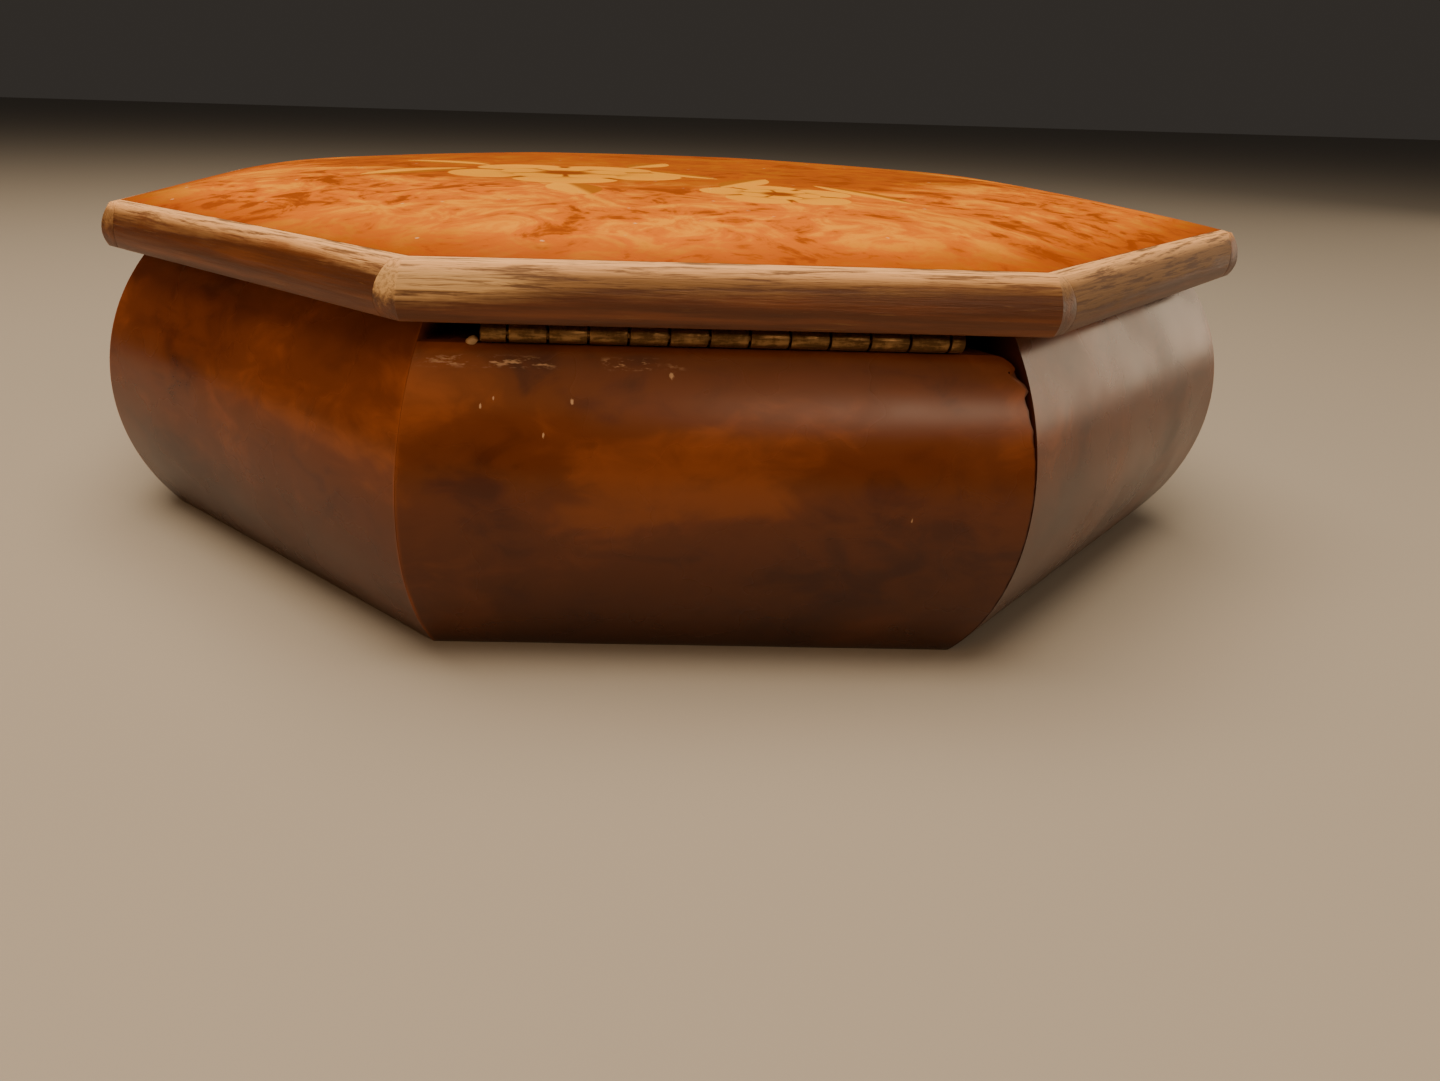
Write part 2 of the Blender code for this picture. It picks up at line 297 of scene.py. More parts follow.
def round_edges(shape, angle, width, segments=2):
    """Round every edge that is sharper than an angle."""
    bmesh.ops.recalc_face_normals(shape, faces=shape.faces)
    sharp = [edge for edge in shape.edges if edge.is_manifold and edge.calc_face_angle(0.0) > angle]
    bmesh.ops.bevel(shape, geom=sharp, offset=width, segments=segments, affect="EDGES", profile=0.5,
                    material=-1, clamp_overlap=True)


def make_piece(name, shape, finishes, body, node):
    """Turn a shape into a piece that rides on a body and stands for a solid of the frame."""
    bmesh.ops.recalc_face_normals(shape, faces=shape.faces)
    mesh = bpy.data.meshes.new(name)
    shape.to_mesh(mesh)
    shape.free()
    mesh.shade_smooth()
    mesh.set_sharp_from_angle(angle=SMOOTH_ANGLE)
    piece = bpy.data.objects.new(name, mesh)
    bpy.context.scene.collection.objects.link(piece)
    for finish in finishes:
        mesh.materials.append(finish)
    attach(piece, body)
    if node:
        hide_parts(node)
    return piece


def finish_node(name, finish):
    """Give a finish to a solid of the frame that keeps its own mesh."""
    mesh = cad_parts[name].data
    mesh.materials.clear()
    mesh.materials.append(finish)


def new_finish(name):
    """A material with its Principled shader; returns it, its node tree and the shader."""
    finish = bpy.data.materials.new(name)
    finish.use_nodes = True
    return finish, finish.node_tree, finish.node_tree.nodes["Principled BSDF"]


def add(tree, kind, links=(), stops=(), output=0, **settings):
    """Add a node with its settings, its inputs, each a value or a socket, and its colour stops."""
    made = tree.nodes.new("ShaderNode" + kind)
    for key, value in settings.items():
        setattr(made, key, value)
    for key, value in links.items() if isinstance(links, dict) else enumerate(links):
        if isinstance(value, bpy.types.NodeSocket):
            tree.links.new(value, made.inputs[key])
        else:
            made.inputs[key].default_value = value
    if stops:
        made.color_ramp.interpolation = "EASE"
    for number, (place, tint) in enumerate(stops):
        if number > 1:
            made.color_ramp.elements.new(place)
        made.color_ramp.elements[number].position = place
        made.color_ramp.elements[number].color = tint
    return made.outputs[output]


SOFT = {"interpolation_type": "SMOOTHSTEP"}
TINTS = {"data_type": "RGBA", "output": 2}
TIMES = {"operation": "MULTIPLY"}
PLUS = {"operation": "ADD"}
TIMES_PLUS = {"operation": "MULTIPLY_ADD"}


def veneer_finish(colours, sizes):
    """Thin sliced veneer, stained red-brown and brushed with lacquer: soft dark clouds under a gloss that
    wanders a little, painted darker at the foot (mostly painted shade, partly a darker stain), rubbed pale
    along the mitres, knocked and scuffed under the hinge, and painted dark with dirt and painted shade in the
    crack and on the mitre faces."""
    finish, tree, shader = new_finish("stained_veneer")
    place = add(tree, "TexCoord", output="Object")
    flat = add(tree, "Mapping", {"Vector": place, "Scale": (1.0, 1.0, 1.7)})
    clouds = add(tree, "TexNoise", {"Vector": flat, "Scale": 1 / (30 * MM), "Detail": 3.0,
                                    "Distortion": 0.6})
    figure = add(tree, "TexNoise", {"Vector": flat, "Scale": 1 / (8 * MM), "Detail": 5.0, "Roughness": 0.6,
                                    "Distortion": 0.8})
    tone = add(tree, "Math", (clouds, 0.7, add(tree, "Math", (figure, 0.3), **TIMES)), **TIMES_PLUS)
    base = add(tree, "ValToRGB", (tone,), stops=((0.36, tuple(colours.veneer_dark)),
                                                (0.50, tuple(colours.veneer_mid)),
                                                (0.66, tuple(colours.veneer_light))))
    parts = add(tree, "SeparateXYZ", (place,)).node.outputs
    # Painted shade: the sides darken towards the foot, mostly standing in for the shade low down, partly a
    # darker stain
    foot = add(tree, "MapRange", (parts[2], FOOT_SHADE, 0.0))
    foot = add(tree, "Math", (foot, 0.85), **TIMES)
    base = add(tree, "Mix", {0: foot, 6: base, 7: colours.foot_stain_and_shade}, **TINTS)
    rub = add(tree, "Attribute", output="Fac", attribute_name="rub")
    base = add(tree, "Mix", {0: rub, 6: base, 7: colours.veneer_light}, **TINTS)
    # Painted dark where the chip attribute is set: dirt and painted shade along the crack, painted shade on
    # the mitre faces and inner edges
    chip = add(tree, "Attribute", output="Fac", attribute_name="chip")
    base = add(tree, "Mix", {0: chip, 6: base, 7: colours.crack_dirt_and_shade}, **TINTS)

    tall = add(tree, "Mapping", {"Vector": place, "Scale": KNOCK_STRETCH})
    grit = add(tree, "TexNoise", {"Vector": tall, "Scale": 1 / (0.8 * MM), "Detail": 3.0, "Roughness": 0.7})
    from_line = add(tree, "Math", (parts[2], sizes.planed_z - SCUFFS_BELOW_RIM), operation="SUBTRACT")
    from_line = add(tree, "Math", (from_line,), operation="ABSOLUTE")
    from_middle = add(tree, "Math", (parts[0], SCUFFS_X), operation="SUBTRACT")
    from_middle = add(tree, "Math", (from_middle,), operation="ABSOLUTE")
    patch = add(tree, "TexNoise", {"Vector": place, "Scale": 1 / (6 * MM), "Detail": 1.0})
    long = add(tree, "Mapping", {"Vector": place, "Scale": (0.35, 1.0, 1.4)})
    smear = add(tree, "TexNoise", {"Vector": long, "Scale": 1 / (0.8 * MM), "Detail": 3.0,
                                   "Roughness": 0.7})
    scuff = add(tree, "MapRange", (smear, 0.50, 0.64), **SOFT)
    for limit in (add(tree, "MapRange", (parts[1], BACK_PLANE, BACK_PLANE + 5 * MM)),
                  add(tree, "MapRange", (from_line, 0.9 * MM, 0.1 * MM), **SOFT),
                  add(tree, "MapRange", (from_middle, SCUFFS_REACH, SCUFFS_REACH - 7 * MM), **SOFT),
                  add(tree, "MapRange", (patch, 0.42, 0.56), **SOFT)):
        scuff = add(tree, "Math", (scuff, limit), **TIMES)
    for along, up, radius in KNOCKS:
        middle = (along * KNOCK_STRETCH[0] * MM, side_apothem(sizes, up * MM), up * KNOCK_STRETCH[2] * MM)
        away = add(tree, "VectorMath", {0: tall, 1: middle}, output="Value", operation="DISTANCE")
        ragged = add(tree, "Math", (grit, radius * 2.4 * MM, away), **TIMES_PLUS)
        knock = add(tree, "MapRange", (ragged, radius * 2.1 * MM, radius * 1.6 * MM), **SOFT)
        scuff = add(tree, "Math", (scuff, knock), operation="MAXIMUM")
    share = add(tree, "Math", (scuff, 0.85), **TIMES)
    base = add(tree, "Mix", {0: share, 6: base, 7: colours.knock}, **TINTS)
    tree.links.new(base, shader.inputs["Base Color"])

    haze = add(tree, "TexNoise", {"Vector": place, "Scale": 1 / (16 * MM), "Detail": 3.0})
    haze = add(tree, "MapRange", (haze, 0.20, 0.80, 0.20, 0.34), **SOFT)
    tree.links.new(haze, shader.inputs["Roughness"])
    shader.inputs["Specular IOR Level"].default_value = 0.42
    ripple = add(tree, "TexNoise", {"Vector": flat, "Scale": 1 / (14 * MM), "Detail": 0.0})
    bump = add(tree, "Bump", {"Strength": 1.0, "Distance": 0.06 * MM, "Height": ripple})
    tree.links.new(bump, shader.inputs["Normal"])
    return finish


def leaf_inlay(tree, place, start, end, width):
    """A pointed leaf: 1 inside it, and a share that is 1 along its scorched half."""
    run, slant = hypot(end[0] - start[0], end[1] - start[1]), atan2(end[1] - start[1], end[0] - start[0])
    local = add(tree, "Mapping", {"Vector": place, "Location": (start[0] * MM, start[1] * MM, 0.0),
                                  "Rotation": (0.0, 0.0, slant), "Scale": (run * MM, width / 2 * MM, 1.0)},
                vector_type="TEXTURE")
    parts = add(tree, "SeparateXYZ", (local,)).node.outputs
    left = add(tree, "Math", (1.0, parts[0]), operation="SUBTRACT")
    swell = add(tree, "Math", (add(tree, "Math", (parts[0], left), **TIMES), 4.0), **TIMES)
    aside = add(tree, "Math", (parts[1],), operation="ABSOLUTE")
    inside = add(tree, "Math", (swell, aside), operation="SUBTRACT")
    return (add(tree, "MapRange", (inside, 0.0, 0.06), **SOFT),
            add(tree, "MapRange", (parts[1], -0.02, 0.30), **SOFT))


def bloom_inlay(tree, place, centre, radius, petals, turn, scorch):
    """A ring of petals: 1 inside it, and a share that is 1 in its middle and along the petals' joints."""
    local = add(tree, "Mapping", {"Vector": place, "Location": (centre[0] * MM, centre[1] * MM, 0.0),
                                  "Rotation": (0.0, 0.0, turn), "Scale": (radius * MM, radius * MM, 1.0)},
                vector_type="TEXTURE")
    parts = add(tree, "SeparateXYZ", (local,)).node.outputs
    out = add(tree, "VectorMath", (add(tree, "CombineXYZ", (parts[0], parts[1])),), output="Value",
              operation="LENGTH")
    angle = add(tree, "Math", (parts[1], parts[0]), operation="ARCTAN2")
    angle = add(tree, "Math", (angle, petals / 2), **TIMES)
    across = add(tree, "Math", (add(tree, "Math", (angle,), operation="COSINE"),), operation="ABSOLUTE")
    lobe = add(tree, "Math", (across, 0.5), operation="POWER")
    lobe = add(tree, "Math", (lobe, 0.36, 0.64), **TIMES_PLUS)
    inside = add(tree, "Math", (lobe, out), operation="SUBTRACT")
    inside = add(tree, "MapRange", (inside, 0.0, 0.02), **SOFT)
    joint = add(tree, "MapRange", (add(tree, "Math", (across, out), **TIMES), 0.17, 0.04), **SOFT)
    middle = add(tree, "MapRange", (out, scorch, scorch - 0.3), **SOFT)
    return inside, add(tree, "Math", (joint, middle), operation="MAXIMUM")


def burl_finish(colours, sizes):
    """Burl veneer, sanded flush, shaded red towards the edge and polished with lacquer: feathery gold figure
    with darker eyes, a paler inlaid spray in the same plane and specks of dust."""
    finish, tree, shader = new_finish("lacquered_burl")
    place = add(tree, "TexCoord", output="Object")
    swirl = add(tree, "TexNoise", {"Vector": place, "Scale": 1 / (26 * MM), "Detail": 5.0, "Roughness": 0.6,
                                   "Distortion": 1.4})
    feather = add(tree, "TexNoise", {"Vector": place, "Scale": 1 / (10 * MM), "Detail": 8.0,
                                     "Roughness": 0.66, "Distortion": 1.8})
    tone = add(tree, "Math", (feather, 0.55, add(tree, "Math", (swirl, 0.45), **TIMES)), **TIMES_PLUS)
    base = add(tree, "ValToRGB", (tone,), stops=((0.40, tuple(colours.burl_dark)),
                                                (0.48, tuple(colours.burl_mid)),
                                                (0.59, tuple(colours.burl_bright))))
    eyes = add(tree, "TexVoronoi", {"Vector": place, "Scale": 1 / (7 * MM)})
    eye = add(tree, "Math", (add(tree, "MapRange", (eyes, 0.20, 0.06), **SOFT),
                             add(tree, "MapRange", (swirl, 0.54, 0.46), **SOFT)), **TIMES)
    share = add(tree, "Math", (eye, 0.6), **TIMES)
    base = add(tree, "Mix", {0: share, 6: base, 7: colours.burl_dark}, **TINTS)

    parts = add(tree, "SeparateXYZ", (place,)).node.outputs
    across = add(tree, "Math", (parts[0],), operation="ABSOLUTE")
    along = add(tree, "Math", (parts[1],), operation="ABSOLUTE")
    slant = add(tree, "Math", (add(tree, "Math", (across, along), **PLUS), sqrt(0.5)), **TIMES)
    square = add(tree, "Math", (across, along), operation="MAXIMUM")
    reach = add(tree, "Math", (square, slant), operation="MAXIMUM")
    radius = add(tree, "VectorMath", (add(tree, "CombineXYZ", (parts[0], parts[1])),), output="Value",
                 operation="LENGTH")
    reach = add(tree, "Math", (add(tree, "Math", (reach, radius), **PLUS), 0.5), **TIMES)
    wide = add(tree, "Math", (swirl, 60 * MM, reach), **TIMES_PLUS)
    # The duller middle spreads farther out on the side away from the camera (towards -y)
    wide = add(tree, "Math", (parts[1], 0.38, wide), **TIMES_PLUS)
    middle = add(tree, "MapRange", (wide, 108 * MM, 84 * MM, 0.0, 0.70), **SOFT)
    base = add(tree, "Mix", {0: middle, 6: base, 7: colours.burl_dark}, **TINTS)
    ragged = add(tree, "Math", (feather, 16 * MM, reach), **TIMES_PLUS)
    # The red border reaches farther in on the side away from the camera (towards -y), so the far part of the
    # lid is darker
    farther = add(tree, "MapRange", (parts[1], 60 * MM, -60 * MM, 0.0, 7 * MM), **SOFT)
    ragged = add(tree, "Math", (ragged, farther), **PLUS)
    edge = add(tree, "MapRange", (ragged, sizes.lid_apothem - 6 * MM, sizes.lid_apothem + 10 * MM), **SOFT)
    share = add(tree, "Math", (edge, 0.85), **TIMES)
    base = add(tree, "Mix", {0: share, 6: base, 7: colours.border}, **TINTS)

    grain = add(tree, "TexNoise", {"Vector": place, "Scale": 1 / (4 * MM), "Detail": 4.0, "Roughness": 0.6})
    mottle = add(tree, "MapRange", (grain, 0.40, 0.75))
    pale = add(tree, "Mix", {0: mottle, 6: colours.inlay, 7: colours.burl_bright}, **TINTS)
    for pattern, pieces, depth in ((leaf_inlay, LEAVES, 0.8), (bloom_inlay, BLOOMS, 1.0)):
        for piece in pieces:
            inside, scorch = pattern(tree, place, *piece)
            share = add(tree, "Math", (scorch, depth), **TIMES)
            tint = add(tree, "Mix", {0: share, 6: pale, 7: colours.inlay_shade}, **TINTS)
            base = add(tree, "Mix", {0: inside, 6: base, 7: tint}, **TINTS)

    dust = add(tree, "TexVoronoi", {"Vector": place, "Scale": 1 / (5 * MM)})
    dusty = add(tree, "Math", (add(tree, "MapRange", (dust, 0.08, 0.04), **SOFT),
                               add(tree, "MapRange", (feather, 0.44, 0.52), **SOFT)), **TIMES)
    share = add(tree, "Math", (dusty, 0.6), **TIMES)
    base = add(tree, "Mix", {0: share, 6: base, 7: colours.dust}, **TINTS)
    tree.links.new(base, shader.inputs["Base Color"])
    haze = add(tree, "TexNoise", {"Vector": place, "Scale": 1 / (22 * MM), "Detail": 4.0})
    tree.links.new(add(tree, "MapRange", (haze, 0.35, 0.70, 0.30, 0.42)), shader.inputs["Roughness"])
    shader.inputs["Specular IOR Level"].default_value = 0.15
    ripple = add(tree, "TexNoise", {"Vector": place, "Scale": 1 / (9 * MM), "Detail": 2.0})
    bump = add(tree, "Bump", {"Strength": 1.0, "Distance": 0.08 * MM, "Height": ripple})
    tree.links.new(bump, shader.inputs["Normal"])
    return finish


def lipping_finish(colours, sizes, index):
    """Solid wood, moulded, stained and varnished, its upper half rubbed back to dry bare wood: streaks along
    the grain, end grain where a strip returns, a frayed line down to where the stain is left, and a top edge
    painted paler, partly rubbed wear and partly painted highlight."""
    finish, tree, shader = new_finish("worn_lipping_" + PLACES[index])
    place = add(tree, "TexCoord", output="Object")
    turned = add(tree, "Mapping", {"Vector": place, "Rotation": (0.0, 0.0, -index * TURN)})
    grain = add(tree, "Mapping", {"Vector": turned, "Scale": (1.0, 0.05, 1.0)})
    fibre = add(tree, "TexNoise", {"Vector": grain, "Scale": 1 / (0.5 * MM), "Detail": 4.0, "Roughness": 0.7,
                                   "Distortion": 0.3})
    streak = add(tree, "TexNoise", {"Vector": grain, "Scale": 1 / (1.8 * MM), "Detail": 4.0,
                                    "Roughness": 0.6})
    patch = add(tree, "TexNoise", {"Vector": place, "Scale": 1 / (10 * MM), "Detail": 4.0, "Roughness": 0.6})
    parts = add(tree, "SeparateXYZ", (place,)).node.outputs
    height = add(tree, "Math", (parts[2], sizes.lid_z), operation="SUBTRACT")

    corner_angle = 1.5 * TURN
    corner = octagon_radius(corner_angle, sizes.lid_apothem)
    driest = (corner * cos(corner_angle), corner * sin(corner_angle), sizes.lid_z + DRIEST_HEIGHT)
    away = add(tree, "VectorMath", {0: place, 1: driest}, output="Value", operation="DISTANCE")
    ragged = add(tree, "Math", (patch, 14 * MM, away), **TIMES_PLUS)
    dry = add(tree, "MapRange", (ragged, 30 * MM, 8 * MM), **SOFT)
    level = add(tree, "Math", (dry, 0.5 * MM, height), **TIMES_PLUS)
    for source, weight in ((parts[0], 0.020), (patch, 3.0 * MM), (streak, 4.0 * MM), (fibre, 1.4 * MM)):
        level = add(tree, "Math", (source, weight, level), **TIMES_PLUS)
    level = add(tree, "Math", (level, RUBBED[PLACES[index]] * MM), **PLUS)
    worn = add(tree, "MapRange", (level, 7.2 * MM, 9.8 * MM), **SOFT)

    paleness = add(tree, "Math", (streak, 0.5, dry), **TIMES_PLUS)
    paleness = add(tree, "MapRange", (paleness, 0.20, 0.80), **SOFT)
    wood = add(tree, "Mix", {0: paleness, 6: colours.bare, 7: colours.bare_pale}, **TINTS)
    # Painted highlight: the rounded top edge is painted paler, partly rubbed wear and partly the highlight
    # along it
    top = add(tree, "MapRange", (height, 5.4 * MM, 7.0 * MM, 0.0, 0.9), **SOFT)
    wood = add(tree, "Mix", {0: top, 6: wood, 7: colours.edge_wear_and_highlight}, **TINTS)
    outward = add(tree, "TexCoord", output="Normal")
    lengthwise = (-sin(index * TURN), cos(index * TURN), 0.0)
    across = add(tree, "VectorMath", (outward, lengthwise), output="Value", operation="DOT_PRODUCT")
    across = add(tree, "Math", (across,), operation="ABSOLUTE")
    line = add(tree, "Math", (add(tree, "MapRange", (fibre, 0.54, 0.36), **SOFT),
                              add(tree, "MapRange", (across, 0.3, 0.6, 0.80, 0.40))), **TIMES)
    wood = add(tree, "Mix", {0: line, 6: wood, 7: colours.stain}, **TINTS)
    depth = add(tree, "MapRange", (streak, 0.35, 0.80, 0.05, 0.60), **SOFT)
    stain = add(tree, "Mix", {0: depth, 6: colours.stain, 7: colours.thin_stain_and_highlight}, **TINTS)
    scratch = add(tree, "MapRange", (fibre, 0.60, 0.72, 0.0, 0.5), **SOFT)
    stain = add(tree, "Mix", {0: scratch, 6: stain, 7: colours.bare}, **TINTS)
    # Painted highlight: the stain is painted lighter towards the top edge, partly stain worn thin and partly
    # the light along the rounded top
    thin = add(tree, "Math", (add(tree, "MapRange", (height, 4.8 * MM, 6.8 * MM), **SOFT), 0.8), **TIMES)
    stain = add(tree, "Mix", {0: thin, 6: stain, 7: colours.thin_stain_and_highlight}, **TINTS)
    tree.links.new(add(tree, "Mix", {0: worn, 6: stain, 7: wood}, **TINTS), shader.inputs["Base Color"])
    tree.links.new(add(tree, "Math", (worn, 0.22, 0.42), **TIMES_PLUS), shader.inputs["Roughness"])
    shader.inputs["Specular IOR Level"].default_value = 0.50
    ridge = add(tree, "Math", (worn, 0.4, fibre), **TIMES_PLUS)
    bump = add(tree, "Bump", {"Strength": 1.0, "Distance": 0.10 * MM, "Height": ridge})
    tree.links.new(bump, shader.inputs["Normal"])
    return finish


def board_finish(colours, index=BACK):
    """Plain sawn board, sanded and given one thin coat of lacquer: even straight grain, nearly matt."""
    finish, tree, shader = new_finish("plain_lacquered_wood")
    place = add(tree, "TexCoord", output="Object")
    turned = add(tree, "Mapping", {"Vector": place, "Rotation": (0.0, 0.0, (BACK - index) * TURN)})
    grain = add(tree, "Mapping", {"Vector": turned, "Scale": (0.05, 1.0, 1.0)})
    fibre = add(tree, "TexNoise", {"Vector": grain, "Scale": 1 / (1.5 * MM), "Detail": 5.0,
                                   "Roughness": 0.65})
    rings = add(tree, "TexNoise", {"Vector": grain, "Scale": 1 / (9 * MM), "Detail": 3.0})
    tone = add(tree, "Math", (fibre, 0.5, add(tree, "Math", (rings, 0.5), **TIMES)), **TIMES_PLUS)
    tint = add(tree, "ValToRGB", (tone,), stops=((0.36, tuple(colours.board_dark)),
                                                (0.62, tuple(colours.board))))
    tree.links.new(tint, shader.inputs["Base Color"])
    shader.inputs["Roughness"].default_value = 0.5
    bump = add(tree, "Bump", {"Strength": 1.0, "Distance": 0.05 * MM, "Height": fibre})
    tree.links.new(bump, shader.inputs["Normal"])
    return finish


def brass_finish(colours):
    """Rolled brass strip, dulled by age: brown grime in the hollows and a rubbed shine along the knuckles."""
    finish, tree, shader = new_finish("aged_brass")
    place = add(tree, "TexCoord", output="Object")
    rolled = add(tree, "Mapping", {"Vector": place, "Scale": (0.12, 1.0, 1.0)})
    streak = add(tree, "TexNoise", {"Vector": rolled, "Scale": 1 / (0.35 * MM), "Detail": 4.0,
                                    "Roughness": 0.7})
    dirt = add(tree, "TexNoise", {"Vector": place, "Scale": 1 / (1.6 * MM), "Detail": 5.0, "Roughness": 0.65})
    both = add(tree, "Math", (streak, 0.6, add(tree, "Math", (dirt, 0.6), **TIMES)), **TIMES_PLUS)
    grime = add(tree, "MapRange", (both, 0.50, 0.68), **SOFT)
    share = add(tree, "Math", (grime, 0.65), **TIMES)
    tint = add(tree, "Mix", {0: share, 6: colours.brass, 7: colours.brass_dirt}, **TINTS)
    tree.links.new(tint, shader.inputs["Base Color"])
    shader.inputs["Metallic"].default_value = 1.0
    tree.links.new(add(tree, "Math", (grime, 0.25, 0.34), **TIMES_PLUS), shader.inputs["Roughness"])
    bump = add(tree, "Bump", {"Strength": 1.0, "Distance": 0.04 * MM, "Height": streak})
    tree.links.new(bump, shader.inputs["Normal"])
    return finish


def glue_finish(colours):
    """Wood glue, squeezed out and dried: dull and cloudy."""
    finish, tree, shader = new_finish("dried_glue")
    shader.inputs["Base Color"].default_value = colours.glue
    shader.inputs["Roughness"].default_value = 0.6
    return finish


def side_panel(sizes, index):
    """One side panel: a curved grid from mitre to mitre, given its thickness inwards. The back one has a
    planed top, a chipped corner and a crack along one mitre; the crack's edge is painted dark with dirt and
    painted shade, and the mitre face across the crack with painted shade."""
    cracked = index == BACK
    top = sizes.planed_z if cracked else sizes.side_height
    spread = tan(TURN / 2)
    shape = bmesh.new()
    rub = shape.verts.layers.float.new("rub")
    chip = shape.verts.layers.float.new("chip")
    bmesh.ops.create_grid(shape, x_segments=96, y_segments=56, size=1.0)
    for vert in shape.verts:
        share = vert.co.x * (1.5 - 0.5 * vert.co.x ** 2)
        from_corner = side_apothem(sizes, top) * spread * (1.0 + share)
        drop = sizes.chip * max(0.0, 1.0 - from_corner / CHIP_WIDTH) ** 2 if cracked else 0.0
        height = (top - drop) * (vert.co.y + 1.0) / 2
        apothem = side_apothem(sizes, height)
        half = apothem * spread - sizes.seam / 2
        along = share * half
        to_end = half - abs(along)
        wave = noise.noise(Vector((index * 3.0, height / (6 * MM), sizes.seed + (1 if share > 0 else 0))))
        vert[rub] = max(0.0, 1.0 - to_end / RUB_WIDTH) * min(1.0, max(0.0, 0.55 + 0.9 * wave))
        if cracked and share < 0:
            open_share = min(1.0, max(0.0, (height - CRACK_START) / CRACK_RISE))
            kink = noise.noise(Vector((height / (1.7 * MM), sizes.seed, 0.0)))
            kink += 0.5 * noise.noise(Vector((height / (0.7 * MM), sizes.seed, 1.0)))
            gap = sizes.crack * open_share ** 1.2 * (0.9 + 1.2 * kink) + HAIRLINE * (1.0 + kink)
            along += max(0.0, gap) * max(0.0, 1.0 - to_end / CRACK_SPREAD)
            vert[rub] = 0.0
            # The crack's edge is painted dark: dirt and painted shade in the crack
            vert[chip] = max(0.0, 1.0 - to_end / ((0.20 + 0.20 * open_share) * MM))
        # Painted shade: the neighbour's mitre face across the crack is painted dark to stand in for the shade
        # in the crack
        if index == BACK + 1 and share > 0:
            vert[rub], vert[chip] = 0.0, 0.95 * max(0.0, 1.0 - to_end / (0.15 * MM))
        vert.co = Vector((along, apothem, height))
    made = bmesh.ops.extrude_face_region(shape, geom=shape.faces[:], use_keep_orig=True)
    inner_half = sizes.inner_apothem * spread - sizes.seam / 2
    for item in made["geom"]:
        if isinstance(item, bmesh.types.BMVert):
            item.co.x *= inner_half / (item.co.y * spread - sizes.seam / 2)
            item.co.y = sizes.inner_apothem
            # Inner edges: the back's planed rim is paler bare wood; on the other panels the mitre faces and
            # tops darken inwards with painted shade
            item[rub], item[chip] = (0.8, 0.1) if cracked else (0.0, 0.6)
    inside = {item for item in made["geom"] if isinstance(item, bmesh.types.BMFace)}
    for face in shape.faces:
        face.material_index = 1 if face in inside or face.calc_center_median().z < 0.001 * MM else 0
    return shape


class MUSICBOX_OT_sides(bpy.types.Operator):
    """Eight mitred side panels in stained veneer, plain inside"""
    bl_idname = "music_box.sides"
    bl_label = "Side panels"

    def execute(self, context):
        sizes, colours = context.scene.music_box_sizes, context.scene.music_box_colours
        veneer = veneer_finish(colours, sizes)
        plain = [board_finish(colours, index) for index in range(SIDES // 2)]
        for index, place in enumerate(PLACES):
            shape = side_panel(sizes, index)
            round_edges(shape, radians(40), sizes.arris)
            bmesh.ops.rotate(shape, verts=shape.verts, cent=(0, 0, 0),
                             matrix=Matrix.Rotation((index - BACK) * TURN, 3, "Z"))
            finishes = (veneer, plain[index % (SIDES // 2)])
            make_piece("panel_" + place, shape, finishes, "box", "side_" + place)
        return {"FINISHED"}


class MUSICBOX_OT_bottom_board(bpy.types.Operator):
    """Plain board that closes the box below"""
    bl_idname = "music_box.bottom_board"
    bl_label = "Bottom board"

    def execute(self, context):
        finish_node("bottom_board", board_finish(context.scene.music_box_colours))
        return {"FINISHED"}


def lid_blank(sizes, segments, shares):
    """The whole lid as one block: flat below, a rounded edge all round and a crowned top."""
    rings = []
    top = sizes.lid_z + sizes.lipping_height
    for step in range(FOOT_STEPS):
        below = 1.0 - step / FOOT_STEPS
        apothem = sizes.lid_apothem - sizes.foot_inset * below ** 2
        height = sizes.lid_z + sizes.nose_height * (1.0 - below)
        rings.append((lambda angle, a=apothem: octagon_radius(angle, a), height))
    for step in range(NOSE_STEPS + 1):
        above = step / NOSE_STEPS
        apothem = sizes.lid_apothem - sizes.top_inset * above ** 2
        height = sizes.lid_z + sizes.nose_height + (sizes.lipping_height - sizes.nose_height) * above
        rings.append((lambda angle, a=apothem: octagon_radius(angle, a), height))
    edge = sizes.lid_apothem - sizes.top_inset
    for share in shares:
        height = top + (sizes.lid_peak - top) * (1.0 - share ** CROWN_POWER)
        rings.append((lambda angle, s=share: crown_radius(angle, s, edge), height))
    return stack_rings(rings, segments)


class MUSICBOX_OT_lid_board(bpy.types.Operator):
    """Crowned board in burl veneer with its inlaid spray, plain below"""
    bl_idname = "music_box.lid_board"
    bl_label = "Lid board"

    def execute(self, context):
        sizes, colours = context.scene.music_box_sizes, context.scene.music_box_colours
        shares = [1.0 - (step / CROWN_STEPS) ** 1.2 for step in range(1, CROWN_STEPS - 1)]
        shape, cap = lid_blank(sizes, SIDES * 16, shares)
        bmesh.ops.poke(shape, faces=[cap])
        joint = sizes.lipping_joint - sizes.seam
        for index in range(SIDES):
            keep(shape, facing(index) * joint, -facing(index))
        bmesh.ops.recalc_face_normals(shape, faces=shape.faces)
        for face in shape.faces:
            face.material_index = 0 if face.normal.z > 0.3 else 1
        finishes = (burl_finish(colours, sizes), board_finish(colours))
        make_piece("veneered_lid", shape, finishes, "lid", "lid_board")
        return {"FINISHED"}


